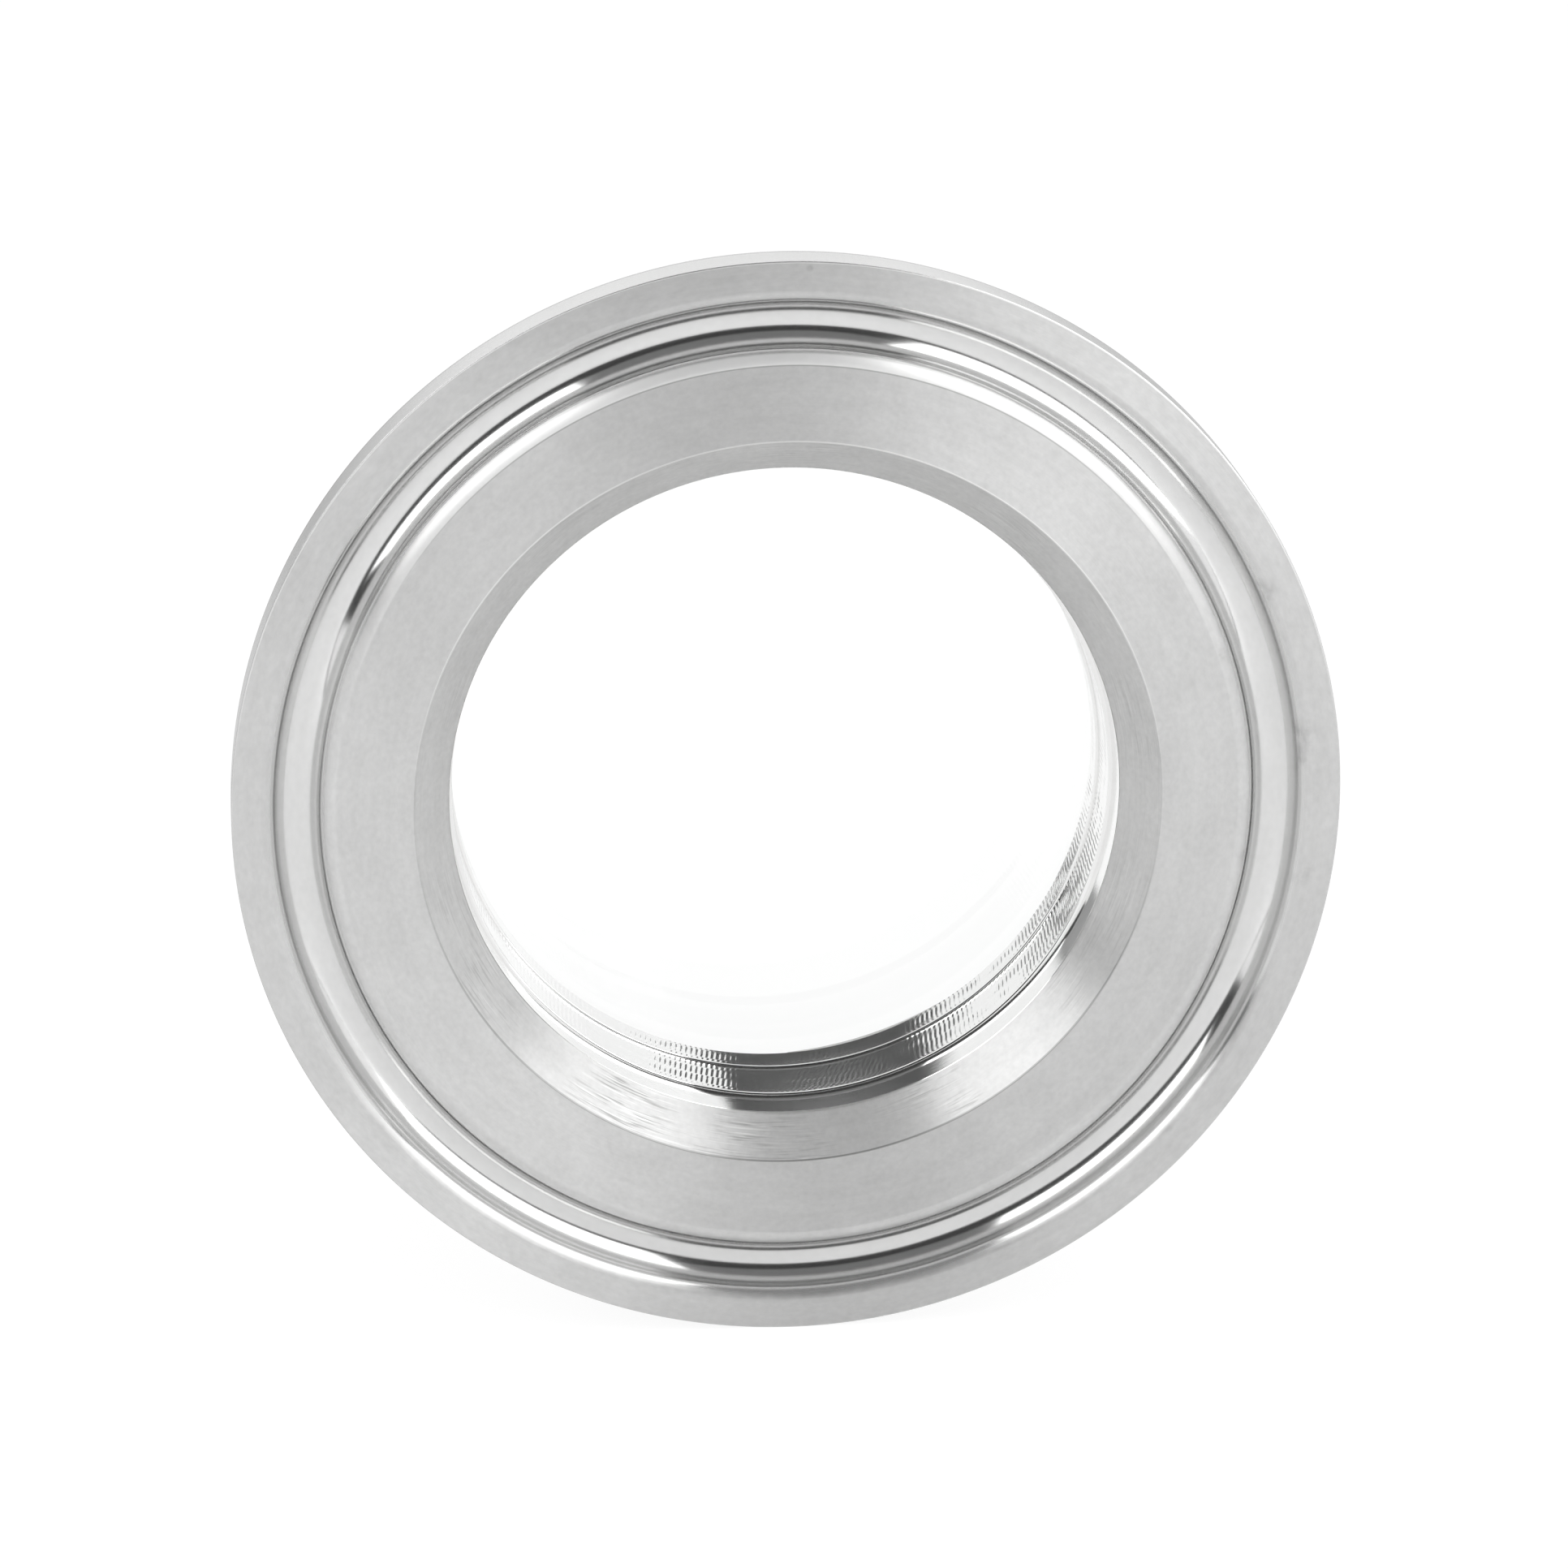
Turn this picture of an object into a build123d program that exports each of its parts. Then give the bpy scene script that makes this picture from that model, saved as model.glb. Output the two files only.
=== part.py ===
from build123d import *
import math
import os

# A short clamp-end sight glass, in millimetres. Its centreline is the Y axis: the sealing face
# of the clamp ferrule is the plane Y = 0 and looks along -Y, and everything lies behind it.
# The ferrule housing is turned from one bar. Behind its lip it carries, in this order, a process
# gasket, a glass disc, an outer gasket and a screwed retaining ring with a captive slip washer.

# Clamp flange
flange_d = 64.0
flange_edge = 2.9  # height of the straight rim
flange_back_angle = 20.0  # slope of the clamped back face, from the face plane
rim_break = 0.2  # broken edge between face and rim
rim_radius = 0.2  # rounded edge between rim and back face

# Seal groove in the face: its walls and floor before the rounding of the corners
groove_inset = 3.75  # from the rim to the middle of the groove
groove_mouth = 3.4
groove_floor = 1.6
groove_depth = 1.6
groove_shoulder_radius = 0.75
groove_floor_radius = 0.8

# Bore: it opens to the lip's width in two small steps, with a chamfer from the flat seat
lip_d = 38.1
lip_land = 2.3
mid_bore_step = 0.15  # radial
mid_bore_land = 4.4
bore_step = 0.25  # radial
bore_land = 2.6
inlet_depth = 2.6
inlet_width = 2.15  # radial

# Window stack behind the lip
glass_seat = 4.35  # how far the lip's rear face reaches in under the glass, radially
glass_thickness = 5.0
glass_chamfer = 0.3
pocket_clearance = 0.35  # radial, around the glass
process_gasket_thickness = 1.3
process_gasket_setback = 1.05  # radial, out from the lip
outer_gasket_thickness = 1.2
gasket_edge = 0.15  # broken rim edges of both gaskets
gasket_recess = 0.1  # how far a gasket's rim stands in from the glass's rim
washer_thickness = 0.5
washer_collar_length = 0.9
washer_collar_wall = 0.35
washer_bead = 0.15  # height of the snap bead inside the collar
washer_running_gap = 0.05

# Retaining ring and its thread
ring_length = 5.4
ring_recess = 0.2  # how far the ring's rear face lies inside the rear rim
ring_overlap = 1.7  # radial, of the ring, its washer and its gasket on the glass
ring_flare = 1.4  # radial, by which the bore opens towards the rear
ring_bore_land = 0.8  # straight stretch of the bore before it opens out
ring_edge = 0.15  # broken edges of the ring's rear face
thread_step = 1.6  # radial, from the glass's rim to the thread's major diameter
thread_pitch = 1.5
thread_flank_gap = 0.12  # axial play on each flank
thread_crest_gap = 0.12  # radial play at crests and roots
thread_root_overlap = 0.1  # how deep a ridge's foot reaches into its wall
thread_end_gap = 0.15  # plain wall left between the housing ridge and the mouth's chamfer
slot_count = 4
slot_width = 4.0
slot_depth = 2.0

# Body behind the flange
body_wall = 1.63  # outside the threaded bore
body_fillet = 1.2
rear_chamfer = 0.6
mouth_chamfer = 0.3  # at the inner edge of the rear rim

# Where each piece starts and ends along the centreline
bore_step_depth = inlet_depth + bore_land
mid_bore_step_depth = bore_step_depth + mid_bore_land
lip_depth = mid_bore_step_depth + lip_land
glass_front = lip_depth + process_gasket_thickness
glass_back = glass_front + glass_thickness
washer_front = glass_back + outer_gasket_thickness
ring_front = washer_front + washer_thickness
ring_back = ring_front + ring_length
body_length = ring_back + ring_recess
collar_back = ring_front + washer_collar_length
ring_shoulder = collar_back + washer_running_gap

# Radii, worked outward from the lip
lip_r = lip_d / 2
mid_bore_r = lip_r + mid_bore_step
bore_r = mid_bore_r + bore_step
seat_inner_r = bore_r + inlet_width
glass_r = lip_r + glass_seat
pocket_r = glass_r + pocket_clearance
gasket_r = glass_r - gasket_recess
ring_bore_r = glass_r - ring_overlap
ring_mouth_r = ring_bore_r + ring_flare
major_r = glass_r + thread_step
thread_height = 5 / 8 * thread_pitch * math.sqrt(3) / 2
minor_r = major_r - thread_height
ring_core_r = minor_r - thread_crest_gap
thread_bore_r = major_r + thread_crest_gap
body_r = thread_bore_r + body_wall
flange_r = flange_d / 2
groove_r = flange_r - groove_inset
collar_outer_r = pocket_r - 2 * washer_running_gap
collar_inner_r = collar_outer_r - washer_collar_wall
nose_r = collar_inner_r - washer_running_gap
bead_r = collar_inner_r - washer_bead
bead_groove_r = bead_r - washer_running_gap

# The two ridges lie half a pitch apart, so that each runs in the middle of the other's groove
ring_ridge_front = ring_shoulder + thread_pitch / 2
ring_ridge_back = ring_back - thread_pitch / 2
housing_ridge_front = ring_ridge_front - thread_pitch / 2
housing_ridge_back = body_length - mouth_chamfer - thread_end_gap - thread_pitch / 2

# A helix about the Y axis starts above the centreline, so its profile is drawn on this plane,
# where the sketch's x runs outward and its y along the centreline
thread_plane = Plane(origin=(0, 0, 0), x_dir=(0, 0, 1), z_dir=(-1, 0, 0))
rear_plane = Plane(origin=(0, ring_back, 0), x_dir=(1, 0, 0), z_dir=(0, -1, 0))

os.makedirs("parts", exist_ok=True)


def thread_ridge(foot_r, crest_r, front, back, play):
    """Makes a right-hand helical ridge with 60 degree flanks and blunt ends."""
    pitch_r = major_r - thread_height / 2
    flank = math.tan(math.radians(30))
    foot_half = thread_pitch / 4 - play + abs(foot_r - pitch_r) * flank
    crest_half = thread_pitch / 4 - play - abs(crest_r - pitch_r) * flank
    with BuildPart() as ridge:
        with BuildLine():
            Helix(
                pitch=thread_pitch,
                height=back - front,
                radius=minor_r,
                center=(0, front, 0),
                direction=(0, 1, 0),
            )
        with BuildSketch(thread_plane):
            Polygon(
                (foot_r, front - foot_half),
                (crest_r, front - crest_half),
                (crest_r, front + crest_half),
                (foot_r, front + foot_half),
                align=None,
            )
        sweep(is_frenet=True)
    return ridge.part


def turned_ring(inner_r, outer_r, front, back, edge):
    """Makes a flat ring or disc about the Y axis, with its four rim edges broken by edge."""
    with BuildPart() as ring:
        with BuildSketch(Plane.XY) as section:
            with Locations(((inner_r + outer_r) / 2, (front + back) / 2)):
                Rectangle(outer_r - inner_r, back - front)
            rims = section.vertices()
            if inner_r == 0:
                rims = rims.group_by(Axis.X)[-1]
            chamfer(rims, length=edge)
        revolve(axis=Axis.Y)
    return ring.part


# Ferrule housing: flange, bore, lip and body, turned as one piece
taper_end = flange_edge + (flange_r - body_r) * math.tan(math.radians(flange_back_angle))
with BuildPart() as ferrule_housing:
    with BuildSketch(Plane.XY) as housing_section:
        with BuildLine():
            FilletPolyline(
                (seat_inner_r, 0),
                (groove_r - groove_mouth / 2, 0),
                (groove_r - groove_floor / 2, groove_depth),
                (groove_r + groove_floor / 2, groove_depth),
                (groove_r + groove_mouth / 2, 0),
                (flange_r - rim_break, 0),
                radius=[
                    groove_shoulder_radius,
                    groove_floor_radius,
                    groove_floor_radius,
                    groove_shoulder_radius,
                ],
            )
            Polyline(
                (flange_r - rim_break, 0),
                (flange_r, rim_break),
                (flange_r, flange_edge),
                (body_r, taper_end),
                (body_r, body_length - rear_chamfer),
                (body_r - rear_chamfer, body_length),
                (thread_bore_r + mouth_chamfer, body_length),
                (thread_bore_r, body_length - mouth_chamfer),
                (thread_bore_r, ring_front),
                (pocket_r, ring_front),
                (pocket_r, lip_depth),
                (lip_r, lip_depth),
                (lip_r, mid_bore_step_depth),
                (mid_bore_r, mid_bore_step_depth),
                (mid_bore_r, bore_step_depth),
                (bore_r, bore_step_depth),
                (bore_r, inlet_depth),
                (seat_inner_r, 0),
            )
        make_face()
        rim_corner = housing_section.vertices().sort_by_distance((flange_r, flange_edge))[0]
        fillet(rim_corner, radius=rim_radius)
        taper_corner = housing_section.vertices().sort_by_distance((body_r, taper_end))[0]
        fillet(taper_corner, radius=body_fillet)
    revolve(axis=Axis.Y)
    # The internal thread stands on the wall of the rear bore
    add(
        thread_ridge(
            thread_bore_r + thread_root_overlap,
            minor_r,
            housing_ridge_front,
            housing_ridge_back,
            0,
        )
    )

# Process gasket: flat ring between the lip and the glass, set back from the bore
with BuildPart() as process_gasket:
    add(turned_ring(lip_r + process_gasket_setback, gasket_r, lip_depth, glass_front, gasket_edge))

# Glass disc, loose in the pocket and held by its two gaskets
with BuildPart() as glass_disc:
    add(turned_ring(0, glass_r, glass_front, glass_back, glass_chamfer))

# Outer gasket: flat ring between the glass and the slip washer
with BuildPart() as outer_gasket:
    add(turned_ring(ring_bore_r, gasket_r, glass_back, washer_front, gasket_edge))

# Slip washer: a thin flat ring whose collar snaps over the nose of the retaining ring, so that
# it comes out with the ring but doesn't turn on the gasket
with BuildPart() as slip_washer:
    with BuildSketch(Plane.XY):
        with BuildLine():
            Polyline(
                (ring_bore_r, washer_front),
                (collar_outer_r, washer_front),
                (collar_outer_r, collar_back),
                (bead_r, collar_back),
                (bead_r, collar_back - washer_bead),
                (collar_inner_r, collar_back - 2 * washer_bead),
                (collar_inner_r, ring_front),
                (ring_bore_r, ring_front),
                close=True,
            )
        make_face()
    revolve(axis=Axis.Y)

# Retaining ring: nose for the washer, bore that opens towards the rear, thread and key slots
with BuildPart() as retaining_ring:
    with BuildSketch(Plane.XY):
        with BuildLine():
            Polyline(
                (ring_bore_r, ring_front),
                (nose_r, ring_front),
                (nose_r, collar_back - 2 * washer_bead - washer_running_gap),
                (bead_groove_r, collar_back - washer_bead - washer_running_gap),
                (bead_groove_r, ring_shoulder),
                (ring_core_r, ring_shoulder),
                (ring_core_r, ring_back - ring_edge),
                (ring_core_r - ring_edge, ring_back),
                (ring_mouth_r + ring_edge, ring_back),
                (ring_mouth_r, ring_back - ring_edge),
                (ring_bore_r, ring_front + ring_bore_land),
                close=True,
            )
        make_face()
    revolve(axis=Axis.Y)
    add(
        thread_ridge(
            ring_core_r - thread_root_overlap,
            major_r - thread_crest_gap,
            ring_ridge_front,
            ring_ridge_back,
            thread_flank_gap,
        )
    )
    with BuildSketch(rear_plane):
        with PolarLocations(radius=major_r, count=slot_count):
            Rectangle(major_r, slot_width)
    extrude(amount=slot_depth, mode=Mode.SUBTRACT)

ferrule_housing.part.label = "ferrule_housing"
process_gasket.part.label = "process_gasket"
glass_disc.part.label = "glass_disc"
outer_gasket.part.label = "outer_gasket"
slip_washer.part.label = "slip_washer"
retaining_ring.part.label = "retaining_ring"
export_step(ferrule_housing.part, "parts/ferrule_housing.step")
export_step(process_gasket.part, "parts/process_gasket.step")
export_step(glass_disc.part, "parts/glass_disc.step")
export_step(outer_gasket.part, "parts/outer_gasket.step")
export_step(slip_washer.part, "parts/slip_washer.step")
export_step(retaining_ring.part, "parts/retaining_ring.step")
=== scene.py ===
import bpy
import bmesh
import math
from mathutils import Matrix, Vector


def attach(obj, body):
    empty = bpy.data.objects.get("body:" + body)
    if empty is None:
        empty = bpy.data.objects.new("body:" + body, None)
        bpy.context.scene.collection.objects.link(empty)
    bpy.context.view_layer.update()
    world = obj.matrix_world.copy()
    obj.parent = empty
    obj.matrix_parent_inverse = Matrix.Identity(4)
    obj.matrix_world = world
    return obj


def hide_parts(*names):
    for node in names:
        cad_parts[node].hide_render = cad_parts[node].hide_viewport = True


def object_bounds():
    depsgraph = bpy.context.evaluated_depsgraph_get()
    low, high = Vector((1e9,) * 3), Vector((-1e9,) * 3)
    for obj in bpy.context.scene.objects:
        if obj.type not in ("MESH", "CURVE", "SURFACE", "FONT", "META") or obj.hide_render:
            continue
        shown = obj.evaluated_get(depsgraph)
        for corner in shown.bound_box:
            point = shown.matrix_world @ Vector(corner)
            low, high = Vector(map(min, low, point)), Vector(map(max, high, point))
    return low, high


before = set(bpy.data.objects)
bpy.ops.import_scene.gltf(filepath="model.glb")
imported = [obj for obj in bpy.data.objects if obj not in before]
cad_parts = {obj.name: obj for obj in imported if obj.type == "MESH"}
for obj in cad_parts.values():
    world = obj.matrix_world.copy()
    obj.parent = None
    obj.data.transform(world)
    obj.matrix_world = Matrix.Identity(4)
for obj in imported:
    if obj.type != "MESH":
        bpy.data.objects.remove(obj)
cad_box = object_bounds()
scene = bpy.context.scene

# ---------------------------------------------------------------------------------------------
# Ferrule housing: flange, bore, lip and body of one stainless bar, turned in a lathe. A form
# tool leaves the seal groove bright, the face and the chamfer keep fine turning lines, and the
# bore keeps the chatter marks of a long boring bar. The rear bore has an internal thread.
mm = 0.001
face_steps = 384
flange_r = 32.0
flange_edge = 2.9
flange_back_angle = 20.0
groove_r = 28.25
groove_mouth = 3.0
groove_floor = 2.14
groove_depth = 1.6
seat_inner_r = 21.6
bore_r, mid_bore_r, lip_r = 19.45, 19.2, 19.05
inlet_depth, bore_step_depth, mid_bore_step_depth, lip_depth = 2.6, 5.2, 9.6, 11.9
pocket_r, thread_bore_r, body_r = 23.75, 25.12, 26.75
ring_front, body_length, rear_break = 19.9, 25.5, 0.6
thread_pitch = 1.5
thread_major_r = 25.0
thread_height = 5 / 8 * thread_pitch * math.sqrt(3) / 2
thread_start, thread_end, lead_in = 20.85, 24.3, 0.3


def only(piece):
    """Makes the piece the only selected and the active one."""
    bpy.ops.object.select_all(action="DESELECT")
    piece.select_set(True)
    bpy.context.view_layer.objects.active = piece


def half_section(name, section):
    """Draws a half section point by point, as (radius, depth, corner radius) in millimetres, and
    rounds its corners. It closes on itself when its last point is its first."""
    bpy.ops.object.select_all(action="DESELECT")
    radius, depth, _ = section[0]
    bpy.ops.mesh.primitive_plane_add(size=mm, location=(radius * mm, depth * mm, 0))
    piece = bpy.context.object
    piece.name = name
    bpy.ops.object.transform_apply(location=True, rotation=True, scale=True)
    bpy.ops.object.mode_set(mode="EDIT")
    bpy.ops.mesh.merge(type="CENTER")
    for (r0, y0, _), (r1, y1, _) in zip(section, section[1:]):
        bpy.ops.mesh.extrude_region_move(
            TRANSFORM_OT_translate={"value": ((r1 - r0) * mm, (y1 - y0) * mm, 0)}
        )
    bpy.ops.mesh.select_all(action="SELECT")
    bpy.ops.mesh.remove_doubles(threshold=1e-6)
    for i, (r, y, corner) in enumerate(section[:-1]):
        if not corner:
            continue
        before = Vector(section[i - 1 if i else -2][:2]) - Vector((r, y))
        after = Vector(section[i + 1][:2]) - Vector((r, y))
        bpy.ops.mesh.select_all(action="DESELECT")
        drawn = bmesh.from_edit_mesh(piece.data)
        for point in drawn.verts:
            point.select_set((point.co - Vector((r, y, 0)) * mm).length < 2e-6)
        bmesh.update_edit_mesh(piece.data)
        bpy.ops.mesh.bevel(
            offset_type="OFFSET", offset=corner * mm / math.tan(before.angle(after) / 2), affect="VERTICES",
            segments=12 if corner > 0.5 else 5 if corner > 0.12 else 2, profile=0.5, clamp_overlap=False,
        )
    bpy.ops.mesh.select_all(action="SELECT")
    return piece


def turned(name, section, steps):
    """Spins a half section round the centreline and closes the skin."""
    piece = half_section(name, section)
    bpy.ops.mesh.spin(steps=steps, angle=2 * math.pi, center=(0, 0, 0), axis=(0, 1, 0), use_auto_merge=True)
    bpy.ops.mesh.select_all(action="SELECT")
    bpy.ops.mesh.remove_doubles(threshold=2e-7)
    bpy.ops.mesh.normals_make_consistent(inside=False)
    bpy.ops.object.mode_set(mode="OBJECT")
    return piece


def thread_ridge(name, foot_r, crest_r, front, back, play):
    """Right-hand helical ridge with 60 degree flanks and blunt ends, starting above the bore."""
    pitch_r = thread_major_r - thread_height / 2
    flank = math.tan(math.radians(30))
    foot = thread_pitch / 4 - play + abs(foot_r - pitch_r) * flank
    crest = thread_pitch / 4 - play - abs(crest_r - pitch_r) * flank
    ridge = half_section(name, [
        (foot_r, front - foot, 0), (crest_r, front - crest, 0), (crest_r, front + crest, 0),
        (foot_r, front + foot, 0), (foot_r, front - foot, 0),
    ])
    bpy.ops.mesh.edge_face_add()
    turns = (back - front) / thread_pitch
    steps = round(turns * 90)
    turn_by = {"orient_axis": "Y", "center_override": (0, 0, 0)}
    bpy.ops.transform.rotate(value=math.pi / 2, **turn_by)
    for _ in range(steps):
        bpy.ops.mesh.extrude_region_move(
            TRANSFORM_OT_translate={"value": (0, (back - front) / steps * mm, 0)}
        )
        bpy.ops.transform.rotate(value=-2 * math.pi * turns / steps, **turn_by)
    bpy.ops.mesh.select_all(action="SELECT")
    bpy.ops.mesh.normals_make_consistent(inside=False)
    bpy.ops.object.mode_set(mode="OBJECT")
    return ridge


def cut_or_join(piece, tool, how):
    """Joins the tool to the piece, or cuts it away, and removes the tool."""
    only(piece)
    work = piece.modifiers.new("work", "BOOLEAN")
    work.operation = how
    work.solver = "MANIFOLD"
    work.object = tool
    bpy.ops.object.modifier_apply(modifier=work.name)
    bpy.data.objects.remove(tool, do_unlink=True)


def fit(piece, body, cad_node, slot, *materials):
    """Smooths a finished piece up to its edges, gives it its materials and names what it rides on."""
    only(piece)
    bpy.ops.object.shade_smooth_by_angle(angle=math.radians(32))
    flats = piece.modifiers.new("flats", "WEIGHTED_NORMAL")
    flats.mode = "FACE_AREA"
    flats.weight = 60
    flats.keep_sharp = True
    bpy.ops.object.modifier_apply(modifier=flats.name)
    piece.data.materials.clear()
    for material in materials:
        piece.data.materials.append(material)
    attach(piece, body)
    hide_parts(cad_node)


def node(tree, kind, values=None, **settings):
    """Adds a shader node, sets it up, and gives its inputs numbers or links."""
    made = tree.nodes.new("ShaderNode" + kind)
    for key, value in settings.items():
        setattr(made, key, value)
    for key, value in (values or {}).items():
        if isinstance(value, bpy.types.NodeSocket):
            tree.links.new(value, made.inputs[key])
        else:
            made.inputs[key].default_value = value
    return made


def maths(tree, operation, *values):
    return node(tree, "Math", dict(enumerate(values)), operation=operation).outputs[0]


def remap(tree, value, low, high, to_low=0.0, to_high=1.0, ease="LINEAR"):
    """Turns low..high into to_low..to_high, and holds it there outside."""
    values = {"Value": value, "From Min": low, "From Max": high, "To Min": to_low, "To Max": to_high}
    return node(tree, "MapRange", values, interpolation_type=ease).outputs[0]


def band(tree, value, start, end, soft):
    """1 from start to end, fading over soft on each side, all in millimetres."""
    rise = remap(tree, value, (start - soft) * mm, start * mm, ease="SMOOTHSTEP")
    fall = remap(tree, value, end * mm, (end + soft) * mm, 1.0, 0.0, ease="SMOOTHSTEP")
    return maths(tree, "MULTIPLY", rise, fall)


def blend(tree, mask, low, high):
    """Number low where the mask is 0, high where it is 1."""
    return node(tree, "Mix", {0: mask, 2: low, 3: high}, data_type="FLOAT").outputs[0]


def tint(tree, mask, low, high):
    """Colour low where the mask is 0, high where it is 1."""
    return node(tree, "Mix", {0: mask, 6: low, 7: high}, data_type="RGBA").outputs[2]


def new_group(name, inputs, outputs):
    group = bpy.data.node_groups.new(name, "ShaderNodeTree")
    for socket, value in inputs.items():
        made = group.interface.new_socket(socket, in_out="INPUT", socket_type="NodeSocketFloat")
        made.default_value = value
    for socket in outputs:
        group.interface.new_socket(socket, in_out="OUTPUT", socket_type="NodeSocketFloat")
    return group, node(group, "TexCoord").outputs["Object"], group.nodes.new("NodeGroupInput").outputs, \
        group.nodes.new("NodeGroupOutput").inputs


# Where a point of a turned piece lies: radius and depth in metres, and its place round the centre
lathe_place, here, _, out = new_group("lathe_place", {}, ["Radius", "Depth", "Across", "Up", "Angle"])
x, y, z = node(lathe_place, "SeparateXYZ", {0: here}).outputs
squares = [maths(lathe_place, "MULTIPLY", side, side) for side in (x, z)]
radius = maths(lathe_place, "SQRT", maths(lathe_place, "ADD", *squares))
for socket, value in (
    ("Radius", radius), ("Depth", y), ("Across", maths(lathe_place, "DIVIDE", x, radius)),
    ("Up", maths(lathe_place, "DIVIDE", z, radius)), ("Angle", maths(lathe_place, "ARCTAN2", z, x)),
):
    lathe_place.links.new(value, out[socket])

# Turning lines: noise drawn out round the centreline, so wide across them and so many round
turning_lines, _, into, out = new_group("turning_lines", {"Width mm": 0.1, "Arcs": 4.0}, ["Lines"])
place = node(turning_lines, "Group", node_tree=lathe_place).outputs
per_metre = maths(turning_lines, "DIVIDE", 1 / mm, into["Width mm"])
along = node(turning_lines, "CombineXYZ", {
    0: maths(turning_lines, "MULTIPLY", place["Radius"], per_metre),
    1: maths(turning_lines, "MULTIPLY", place["Depth"], per_metre),
    2: maths(turning_lines, "MULTIPLY", place["Across"], into["Arcs"]),
}).outputs[0]
noise = node(turning_lines, "TexNoise", {"Vector": along, "Scale": 1.0, "Detail": 2.0,
    "W": maths(turning_lines, "MULTIPLY", place["Up"], into["Arcs"])}, noise_dimensions="4D")
turning_lines.links.new(noise.outputs[0], out["Lines"])


def lines_of(tree, width, arcs):
    values = {"Width mm": width, "Arcs": arcs}
    return node(tree, "Group", values, node_tree=turning_lines).outputs["Lines"]


def cloudy(tree, scale, detail=2.0, roughness=0.5):
    """Soft noise in space, with so many clouds to the metre."""
    values = {"Vector": node(tree, "TexCoord").outputs["Object"], "Scale": scale, "Detail": detail,
        "Roughness": roughness}
    return node(tree, "TexNoise", values).outputs[0]


def tone_of(tree, *grains):
    """Adds up (grain, weight) pairs to one tone from 0 to 1."""
    tone = 0.0
    for grain, weight in grains:
        tone = maths(tree, "MULTIPLY_ADD", remap(tree, grain, 0.3, 0.7), weight, tone)
    return tone


def both(tree, mask, *others):
    """Where all these masks are."""
    for other in others:
        mask = maths(tree, "MULTIPLY", mask, other)
    return mask


def either(tree, mask, *others):
    """Where any of these masks is."""
    for other in others:
        mask = maths(tree, "MAXIMUM", mask, other)
    return mask


def new_material(name, metallic, ior=1.5):
    made = bpy.data.materials.new(name)
    made.use_nodes = True
    shader = made.node_tree.nodes["Principled BSDF"]
    shader.inputs["Metallic"].default_value = metallic
    shader.inputs["IOR"].default_value = ior
    return made, made.node_tree, shader


def feed(tree, shader, values):
    """Links what changes over the surface to the shader."""
    for socket, value in values.items():
        tree.links.new(value, shader.inputs[socket])


def relief(tree, shader, height, depth, strength=1.0):
    """Raises the surface by a fine relief of this depth in millimetres."""
    bump = node(tree, "Bump", {"Strength": strength, "Distance": depth * mm, "Height": height})
    feed(tree, shader, {"Normal": bump.outputs[0]})


def turned_grain(tree, shader, strength):
    """Spreads highlights across the turning lines."""
    shader.inputs["Anisotropic"].default_value = strength
    shader.inputs["Anisotropic Rotation"].default_value = 0.25
    feed(tree, shader, {"Tangent": node(tree, "Tangent", direction_type="RADIAL", axis="Y").outputs[0]})


turned_stainless, tree, shader = new_material("turned_stainless", 1.0)
place = node(tree, "Group", node_tree=lathe_place).outputs
in_front = band(tree, place["Depth"], -1, 2.4, 0.2)


def face_ring(inner, outer, soft):
    """A ring on the front of the flange, from one radius to the other."""
    return both(tree, band(tree, place["Radius"], inner, outer, soft), in_front)


in_chamfer = face_ring(19.5, 21.55, 0.03)
seat_edge = face_ring(21.56, 21.64, 0.03)
groove_edge = face_ring(26.0, 26.04, 0.04)
on_inner_shoulder = face_ring(26.1, 26.6, 0.15)
in_groove = face_ring(26.85, 29.65, 0.15)
on_outer_wall = face_ring(29.4, 29.75, 0.3)
rim_edge = face_ring(31.9, 31.99, 0.03)
on_rim = band(tree, place["Radius"], 31.96, 33, 0.03)
in_bore = band(tree, place["Radius"], 10, 19.47, 0.02)
is_bright = either(tree, in_groove, in_bore)

# tone: broad and mottled turning lines, and clouds in the finish
cloud = cloudy(tree, 350.0, 4.0, 0.6)
tone = tone_of(tree, (lines_of(tree, 0.8, 3.0), 0.3), (cloud, 0.3), (lines_of(tree, 0.3, 60.0), 0.4))
face_colour = tint(tree, tone, (0.59, 0.59, 0.587, 1), (0.74, 0.74, 0.737, 1))
groove_colour = tint(tree, tone, (0.71, 0.71, 0.707, 1), (0.8, 0.8, 0.797, 1))
bore_colour = tint(tree, tone, (0.86, 0.86, 0.855, 1), (0.92, 0.92, 0.915, 1))
steel_colour = tint(tree, is_bright, face_colour, tint(tree, in_bore, groove_colour, bore_colour))
for duller in (on_rim, on_outer_wall):
    steel_colour = tint(tree, duller, steel_colour, (0.67, 0.67, 0.667, 1))

# lightened: short bright lines in patches, strongest towards the bottom of the chamfer, and painted
# highlights on the top of the seat and rim edges and of the inner shoulder
patches = both(tree, remap(tree, cloudy(tree, 160.0, 1.0), 0.42, 0.62), in_chamfer,
    remap(tree, place["Up"], -0.35, -0.75, 0.25, 1.0))
bright_lines = both(tree, remap(tree, lines_of(tree, 0.13, 7.0), 0.55, 0.66), patches)
# painted highlight: the seat and rim edges lightened towards the top only, where the light falls
painted_edge_highlights = both(tree, either(tree, rim_edge, seat_edge), remap(tree, place["Up"], 0.1, 0.5))
# painted highlight: the inner shoulder lightened towards the top only
painted_shoulder_highlight = both(tree, on_inner_shoulder, remap(tree, place["Up"], 0.3, 0.9))
bright_lines_and_painted_highlights = either(tree, bright_lines, painted_edge_highlights, painted_shoulder_highlight)
# mixes the bright lines and the painted highlights towards near-white
steel_colour = tint(tree, both(tree, bright_lines_and_painted_highlights, 0.7), steel_colour, (0.95, 0.95, 0.945, 1))
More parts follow.
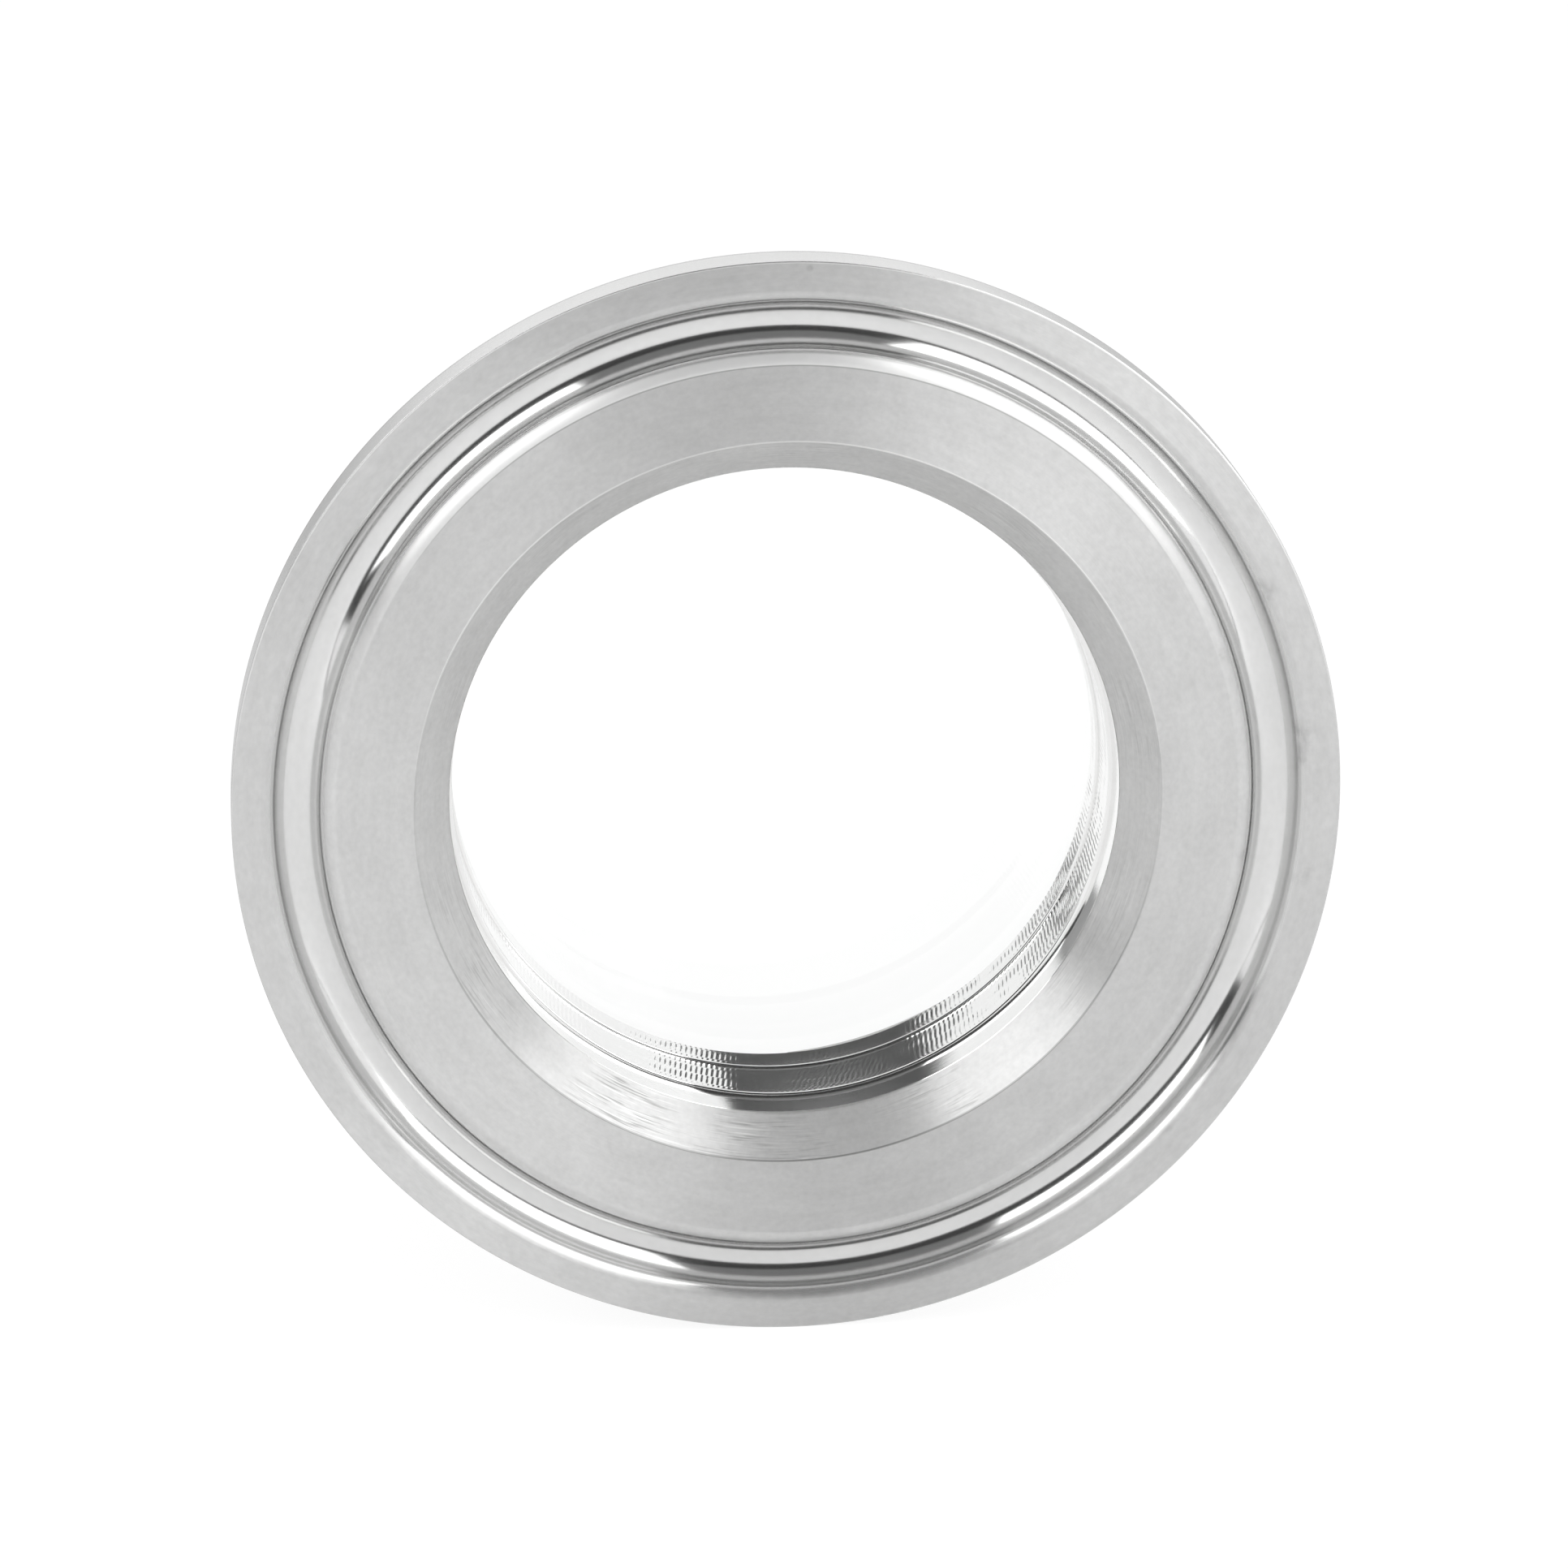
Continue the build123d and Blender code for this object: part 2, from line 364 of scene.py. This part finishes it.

# darkened: short dark lines in the same patches, and painted shade lines along the seat's outer edge
# towards the top and its inner edge towards the bottom
dark_lines = both(tree, remap(tree, lines_of(tree, 0.11, 9.0), 0.53, 0.64), patches)
# painted shade: a thin dark line at the seat's outer edge towards the top and at its inner edge towards the
# bottom
painted_shade_lines = either(tree, both(tree, groove_edge, remap(tree, place["Up"], 0.5, 0.85)),
    both(tree, seat_edge, remap(tree, place["Up"], -0.1, -0.6)))
dark_lines_and_painted_shade = either(tree, both(tree, dark_lines, 0.75), both(tree, painted_shade_lines, 0.6))

# handling smudges and dents, as (size in mm, radius in mm, degrees clockwise from the right)
smudges = 0.0
for size, radius_mm, clockwise in (
    (1.3, 29.8, -6), (1.3, 29.8, -2.5), (0.8, 30.0, 9), (0.7, 27.1, 8), (0.9, 29.8, -24), (0.8, 26.9, -19),
    (0.7, 30.4, 43), (0.2, 31.6, -88), (0.2, 21.5, 29), (0.16, 24.5, 84), (0.16, 30.6, 205),
):
    turn = math.radians(clockwise)
    middle = (radius_mm * math.cos(turn) * mm, 0, -radius_mm * math.sin(turn) * mm)
    apart = node(tree, "VectorMath", {0: node(tree, "TexCoord").outputs["Object"], 1: middle},
        operation="DISTANCE").outputs["Value"]
    smudges = either(tree, smudges, band(tree, apart, -1, size * 0.4, size))
smudges = both(tree, smudges, remap(tree, cloud, 0.46, 0.62), 0.5)
# darkens the dark lines, the painted shade lines and the smudges
steel_colour = tint(tree, either(tree, dark_lines_and_painted_shade, smudges), steel_colour, (0.3, 0.3, 0.298, 1))

roughness = blend(tree, tone, 0.36, 0.42)
for part, polish in (
    (in_chamfer, 0.39), (on_rim, 0.2), (in_groove, 0.13), (on_outer_wall, 0.18), (in_bore, 0.08),
):
    roughness = blend(tree, part, roughness, polish)
mirrored = blend(tree, either(tree, in_chamfer, on_inner_shoulder), 0.88, 0.66)
feed(tree, shader, {"Base Color": steel_colour, "Roughness": roughness,
    "Metallic": either(tree, mirrored, is_bright)})
turned_grain(tree, shader, 0.85)

# chatter: rows of fine ribs along the bore that lean with the feed, weakest at the bottom
ribs_round, row_length, row_shift, lean = 372.0, 1.45, 1.6, -2.5
row = maths(tree, "DIVIDE", place["Depth"], row_length * mm)
shift = maths(tree, "MULTIPLY", maths(tree, "FLOOR", row), row_shift)
phase = maths(tree, "MULTIPLY_ADD", place["Angle"], ribs_round, shift)
phase = maths(tree, "MULTIPLY_ADD", place["Depth"], lean / mm, phase)
swell = maths(tree, "SQRT", maths(tree, "SINE", both(tree, maths(tree, "FRACT", row), math.pi)))
at_bottom = both(tree, remap(tree, place["Across"], -0.26, -0.16),
    remap(tree, place["Across"], 0.4, 0.55, 1.0, 0.0))
between_steps = either(tree, band(tree, place["Depth"], 5.5, 9.45, 0.1),
    band(tree, place["Depth"], 9.85, 11.8, 0.1))
ribs = both(tree, maths(tree, "SINE", phase), swell, blend(tree, at_bottom, 1.0, 0.25),
    remap(tree, cloudy(tree, 700.0), 0.35, 0.65, 0.3, 1.1), between_steps, in_bore)
turning = both(tree, remap(tree, lines_of(tree, 0.1, 2.5), 0.2, 0.8), blend(tree, is_bright, 1.4, 0.5))
relief(tree, shader, maths(tree, "MULTIPLY_ADD", ribs, 4.2, turning), 0.0025)

housing = turned("ferrule_housing_turned", [
    (seat_inner_r, 0, 0.03),
    (groove_r - groove_mouth / 2, 0, 0.95),
    (groove_r - groove_floor / 2, groove_depth, 1.2),
    (groove_r + groove_floor / 2, groove_depth, 1.2),
    (groove_r + groove_mouth / 2, 0, 0.75),
    (flange_r, 0, 0.08),
    (flange_r, flange_edge, 0.2),
    (body_r, flange_edge + (flange_r - body_r) * math.tan(math.radians(flange_back_angle)), 1.2),
    (body_r, body_length - rear_break, 0.05),
    (body_r - rear_break, body_length, 0.05),
    (thread_bore_r + lead_in, body_length, 0.04),
    (thread_bore_r, body_length - lead_in, 0.04),
    (thread_bore_r, ring_front, 0.04),
    (pocket_r, ring_front, 0.04),
    (pocket_r, lip_depth, 0.04),
    (lip_r, lip_depth, 0.04),
    (lip_r, mid_bore_step_depth, 0.09),
    (mid_bore_r, mid_bore_step_depth, 0),
    (mid_bore_r, bore_step_depth, 0.11),
    (bore_r, bore_step_depth, 0),
    (bore_r, inlet_depth, 0.03),
    (seat_inner_r, 0, 0.03),
], face_steps)
housing_thread = thread_ridge("housing_thread", thread_bore_r + 0.1, thread_major_r - thread_height,
    thread_start, thread_end, 0)
cut_or_join(housing, housing_thread, "UNION")
fit(housing, "housing", "ferrule_housing", "turned_steel", turned_stainless)

# ---------------------------------------------------------------------------------------------
# Process gasket: a flat ring of white silicone, punched from sheet, between the lip and the
# glass. It is set back from the bore and swells a little where it is squeezed.
glass_front = 13.2
white_silicone, tree, shader = new_material("white_silicone", 0.0, 1.41)
speckle = cloudy(tree, 900.0, 5.0, 0.6)
feed(tree, shader, {
    "Base Color": tint(tree, remap(tree, speckle, 0.3, 0.7), (0.74, 0.74, 0.72, 1), (0.82, 0.82, 0.8, 1)),
    "Roughness": remap(tree, cloudy(tree, 90.0, 3.0), 0.3, 0.7, 0.4, 0.55),
})
relief(tree, shader, speckle, 0.01, 0.5)
shader.inputs["Subsurface Weight"].default_value = 0.15
shader.inputs["Subsurface Radius"].default_value = (0.0008, 0.0007, 0.0006)


def gasket(name, inner_r, outer_r, front, back):
    middle = (front + back) / 2
    return turned(name, [
        (inner_r + 0.1, front, 0.12), (outer_r - 0.1, front, 0.12), (outer_r, middle, 0.3),
        (outer_r - 0.1, back, 0.12), (inner_r + 0.1, back, 0.12), (inner_r, middle, 0.3),
        (inner_r + 0.1, front, 0.12),
    ], 256)


process_gasket = gasket("process_gasket_swollen", 20.1, 23.3, lip_depth, glass_front)
fit(process_gasket, "housing", "process_gasket", "gasket", white_silicone)

# ---------------------------------------------------------------------------------------------
# Glass disc: clear borosilicate, ground to size at the rim, with ground bevels and polished
# faces. It lies loose in the pocket between its two gaskets.
glass_r, glass_back, glass_bevel = 23.4, 18.2, 0.3
clear_glass, tree, shader = new_material("clear_borosilicate", 0.0, 1.473)
shader.inputs["Transmission Weight"].default_value = 1.0
wipe = cloudy(tree, 60.0, 3.0)
feed(tree, shader, {
    "Base Color": tint(tree, wipe, (1.0, 1.0, 1.0, 1), (0.992, 1.0, 0.996, 1)),
    "Roughness": remap(tree, wipe, 0.45, 0.75, 0.0, 0.012),
})
ground_glass, tree, shader = new_material("ground_borosilicate", 0.0, 1.473)
shader.inputs["Transmission Weight"].default_value = 0.85
grain = cloudy(tree, 6000.0, 3.0)
feed(tree, shader, {
    "Base Color": tint(tree, grain, (0.86, 0.9, 0.88, 1), (0.95, 0.97, 0.96, 1)),
    "Roughness": remap(tree, grain, 0.3, 0.7, 0.42, 0.6),
})
relief(tree, shader, grain, 0.01, 0.6)

glass = turned("glass_disc_polished", [
    (0, glass_front, 0),
    (glass_r - glass_bevel, glass_front, 0.04),
    (glass_r, glass_front + glass_bevel, 0.06),
    (glass_r, glass_back - glass_bevel, 0.06),
    (glass_r - glass_bevel, glass_back, 0.04),
    (0, glass_back, 0),
], 256)
fit(glass, "housing", "glass_disc", "window_glass", clear_glass, ground_glass)
for face in glass.data.polygons:
    face.material_index = int(math.hypot(face.center.x, face.center.z) > (glass_r - glass_bevel) * mm)

# ---------------------------------------------------------------------------------------------
# Outer gasket: the same white silicone, between the glass and the slip washer.
washer_front = 19.4
outer_gasket = gasket("outer_gasket_swollen", 21.7, 23.3, glass_back, washer_front)
fit(outer_gasket, "housing", "outer_gasket", "gasket", white_silicone)

# ---------------------------------------------------------------------------------------------
# Slip washer: a thin flat ring turned from white PTFE. Its collar snaps over the nose of the
# retaining ring, so it comes out with the ring but doesn't turn on the gasket.
ptfe, tree, shader = new_material("white_ptfe", 0.0, 1.35)
skim = lines_of(tree, 0.12, 3.0)
feed(tree, shader, {
    "Base Color": tint(tree, skim, (0.8, 0.8, 0.79, 1), (0.88, 0.88, 0.87, 1)),
    "Roughness": remap(tree, skim, 0.3, 0.7, 0.3, 0.42),
})
relief(tree, shader, skim, 0.008, 0.6)
washer_bore_r, washer_r, washer_back = 21.7, 23.65, 20.8
slip_washer = turned("slip_washer_turned", [
    (washer_bore_r, washer_front, 0.06), (washer_r, washer_front, 0.1), (washer_r, washer_back, 0.05),
    (washer_r - 0.5, washer_back, 0.04), (washer_r - 0.5, washer_back - 0.15, 0.03),
    (washer_r - 0.35, washer_back - 0.3, 0.03), (washer_r - 0.35, ring_front, 0.06),
    (washer_bore_r, ring_front, 0.06), (washer_bore_r, washer_front, 0.06),
], 256)
fit(slip_washer, "washer", "slip_washer", "slip_washer", ptfe)

# ---------------------------------------------------------------------------------------------
# Retaining ring: turned stainless with an outside thread, a bore that opens towards the rear,
# and four milled slots for a pin key. It screws into the housing behind the washer.
ring_back, ring_bore_r, ring_mouth_r, ring_core_r = 25.3, 21.7, 23.1, 24.068
slot_width, slot_floor = 4.0, 23.3
ring_stainless, tree, shader = new_material("ring_stainless", 1.0)
tone = tone_of(tree, (lines_of(tree, 0.7, 4.0), 0.5), (cloudy(tree, 400.0, 4.0), 0.5))
feed(tree, shader, {
    "Base Color": tint(tree, tone, (0.64, 0.635, 0.62, 1), (0.73, 0.725, 0.71, 1)),
    "Roughness": remap(tree, tone, 0.0, 1.0, 0.22, 0.3),
})
turned_grain(tree, shader, 0.6)
relief(tree, shader, lines_of(tree, 0.1, 3.0), 0.003)

ring = turned("retaining_ring_slotted", [
    (ring_bore_r, ring_front, 0.06), (23.25, ring_front, 0.06), (23.25, 20.45, 0.03), (23.1, 20.6, 0.03),
    (23.1, 20.85, 0.03), (ring_core_r, 20.85, 0.1), (ring_core_r, ring_back - 0.15, 0.04),
    (ring_core_r - 0.15, ring_back, 0.04), (ring_mouth_r + 0.15, ring_back, 0.04),
    (ring_mouth_r, ring_back - 0.15, 0.04), (ring_bore_r, 20.7, 0.2), (ring_bore_r, ring_front, 0.06),
], 256)
ring_thread_start, ring_thread_end, thread_play = 21.6, 24.55, 0.12
ring_thread = thread_ridge("ring_thread", ring_core_r - 0.1, thread_major_r - thread_play,
    ring_thread_start, ring_thread_end, thread_play)
cut_or_join(ring, ring_thread, "UNION")
half_slot, flare = slot_width / 2, 0.2
for quarter in range(4):
    slot_cutter = half_section("slot_cutter", [
        (-half_slot, slot_floor, 0.15), (half_slot, slot_floor, 0.15), (half_slot, ring_back - 0.1, 0),
        (half_slot + flare, ring_back + 0.1, 0), (half_slot + flare, 27, 0), (-half_slot - flare, 27, 0),
        (-half_slot - flare, ring_back + 0.1, 0), (-half_slot, ring_back - 0.1, 0),
        (-half_slot, slot_floor, 0.15),
    ])
    bpy.ops.mesh.edge_face_add()
    bpy.ops.transform.translate(value=(0, 0, 20 * mm))
    bpy.ops.mesh.extrude_region_move(TRANSFORM_OT_translate={"value": (0, 0, 7 * mm)})
    bpy.ops.mesh.select_all(action="SELECT")
    bpy.ops.transform.rotate(value=quarter * math.pi / 2, orient_axis="Y", center_override=(0, 0, 0))
    bpy.ops.mesh.normals_make_consistent(inside=False)
    bpy.ops.object.mode_set(mode="OBJECT")
    cut_or_join(ring, slot_cutter, "DIFFERENCE")
fit(ring, "ring", "retaining_ring", "ring_steel", ring_stainless)

# ---------------------------------------------------------------------------------------------
# Studio: a pale table, a dark canopy with two large soft boxes under it, small flags behind, and
# a white surrounding that metal and glass show as well. The camera has a long lens and stands a
# little above and to the left of the centreline.
table_white = 0.78
bpy.ops.object.select_all(action="DESELECT")
bpy.ops.mesh.primitive_plane_add(size=6, location=(0, 0, cad_box[0].z))
table = bpy.context.object
table.name = "table"
paper, tree, shader = new_material("table_paper", 0.0)
shader.inputs["Base Color"].default_value = (table_white, table_white, table_white, 1)
shader.inputs["Roughness"].default_value = 0.9
shader.inputs["Specular IOR Level"].default_value = 0.1
rays = node(tree, "LightPath").outputs
seen = maths(tree, "MAXIMUM", rays["Is Camera Ray"], rays["Is Transmission Ray"])
glow = node(tree, "Emission", {"Color": (1, 1, 1, 1), "Strength": 1.08})
shown = node(tree, "MixShader", {0: both(tree, seen, 0.85), 1: shader.outputs[0], 2: glow.outputs[0]})
tree.links.new(shown.outputs[0], tree.nodes["Material Output"].inputs["Surface"])
table.data.materials.append(paper)


def direction(azimuth, elevation):
    """Unit vector from the object: azimuth 0 looks out of the face, positive to the right."""
    a, e = math.radians(azimuth), math.radians(elevation)
    return Vector((math.sin(a) * math.cos(e), -math.cos(a) * math.cos(e), math.sin(e)))


def flag_cloth(name, brightness):
    made, tree, shader = new_material(name, 0.0)
    cloth = node(tree, "Emission", {"Color": (1, 1, 1, 1), "Strength": brightness})
    tree.links.new(cloth.outputs[0], tree.nodes["Material Output"].inputs["Surface"])
    return made


def hang_flag(name, points, faces, through_glass, *cloths):
    """A cloth that metal mirrors, through glass too where asked, and that all light passes."""
    flag = bpy.data.objects.new(name, bpy.data.meshes.new(name))
    flag.data.from_pydata(points, [], faces)
    scene.collection.objects.link(flag)
    for cloth in cloths:
        flag.data.materials.append(cloth)
    flag.visible_camera = False
    flag.visible_transmission = through_glass
    flag.visible_diffuse = False
    flag.visible_shadow = False
    flag.visible_volume_scatter = False
    return flag


# the canopy's lower edge, as (azimuth, elevation): low in front, near the zenith at the back
canopy_edge = [(-180, 84), (-150, 82), (-122, 68), (-104, 30), (-88, 11), (-59, 7.4), (-40, 2), (-22, -4.8),
    (-8, -8), (8, -6), (28, 1.2), (44, 11.4), (63, 18.8), (93, 22.8), (106, 40), (122, 68), (150, 82)]
canopy_reach, rows = 2.6, 8
points, faces = [], []
for azimuth, edge in canopy_edge:
    points += [direction(azimuth, edge + (90 - edge) * t / rows) * canopy_reach for t in range(rows + 1)]
for i in range(len(canopy_edge)):
    here, beside = i * (rows + 1), (i + 1) % len(canopy_edge) * (rows + 1)
    faces += [(here + t, beside + t, beside + t + 1, here + t + 1) for t in range(rows)]
cloths = flag_cloth("black_cloth", 0.05), flag_cloth("grey_cloth", 0.2)
canopy = hang_flag("canopy", points, faces, False, *cloths)
for face in canopy.data.polygons:
    face.material_index = int(face.center.normalized().z > 0.5)


def hang_behind(name, y, corners, through_glass, cloth):
    """A flag across the centreline behind the part, its corners given as (x, z)."""
    hang_flag(name, [(x, y, z) for x, z in corners], [(0, 1, 2, 3)], through_glass, cloth)


# the bore mirrors the first two through the glass, and the rim mirrors the card
back_flag_corners = (-0.0245, 0.016), (0.0255, 0.016), (0.0255, 0.041), (-0.0245, 0.041)
side_flag_corners = (-0.034, -0.03), (-0.024, -0.029), (-0.028, -0.011), (-0.04, -0.011)
back_card_corners = (-0.45, -0.03), (0.45, -0.03), (0.45, 0.07), (-0.45, 0.07)
hang_behind("back_flag", 0.15, back_flag_corners, True, flag_cloth("back_cloth", 0.03))
hang_behind("side_flag", 0.15, side_flag_corners, True, flag_cloth("side_cloth", 0.12))
hang_behind("back_card", 0.4, back_card_corners, False, flag_cloth("grey_card", 0.45))
strip_points = [direction(180 + a, e) * 1.5 for a, e in ((-16, 40), (16, 40), (38, 76), (-38, 76))]
hang_flag("overhead_strip", strip_points, [(0, 1, 2, 3)], False, flag_cloth("strip_cloth", 0.25))


def soft_box(name, out_from_axis, middle, width, length, radiance):
    """A long soft box beside the line that runs forward and down from the face, turned to it."""
    forward = direction(5.21, -16.75)
    sideways = Vector(out_from_axis).normalized()
    lamp = bpy.data.lights.new(name, "AREA")
    lamp.shape = "RECTANGLE"
    lamp.size, lamp.size_y = width, length
    lamp.energy = radiance * math.pi * width * length
    box = bpy.data.objects.new(name, lamp)
    scene.collection.objects.link(box)
    across = forward.cross(sideways)
    box.matrix_world = Matrix((across, forward, sideways)).transposed().to_4x4()
    box.location = sideways * 0.8 + forward * middle
    box.visible_camera = False
    box.visible_transmission = False


soft_box("soft_box_left", (-0.70, -0.262, 0.665), 0.22, 0.53, 1.0, 2.2)
soft_box("soft_box_right", (0.635, -0.165, 0.755), 0.6, 0.62, 1.65, 2.2)

studio = bpy.data.worlds.new("studio")
scene.world = studio
studio.use_nodes = True
tree = studio.node_tree
rays = node(tree, "LightPath").outputs
fill = tree.nodes["Background"]
fill.inputs["Color"].default_value = (0.55, 0.55, 0.55, 1)
white = node(tree, "Background", {"Color": (1, 1, 1, 1), "Strength": 1.0})
seen = maths(tree, "MAXIMUM", maths(tree, "MAXIMUM", rays["Is Camera Ray"], rays["Is Transmission Ray"]),
    rays["Is Glossy Ray"])
around = node(tree, "MixShader", {0: seen, 1: fill.outputs[0], 2: white.outputs[0]})
tree.links.new(around.outputs[0], tree.nodes["World Output"].inputs["Surface"])
scene.view_settings.view_transform = "Standard"

camera_back, camera_right, camera_up = 0.3731, -0.000339, 0.001349
away = direction(-5.211, 16.752)
across = Vector((away.y, -away.x, 0)).normalized() * -1
camera = bpy.data.objects.new("camera", bpy.data.cameras.new("camera"))
scene.collection.objects.link(camera)
camera.data.sensor_width = 36
camera.data.lens = 149.07
camera.data.clip_start = 0.01
camera.data.clip_end = 20
camera.location = away * camera_back + across * camera_right + away.cross(across) * camera_up
camera.rotation_euler = (-away).to_track_quat("-Z", "Y").to_euler()
scene.camera = camera
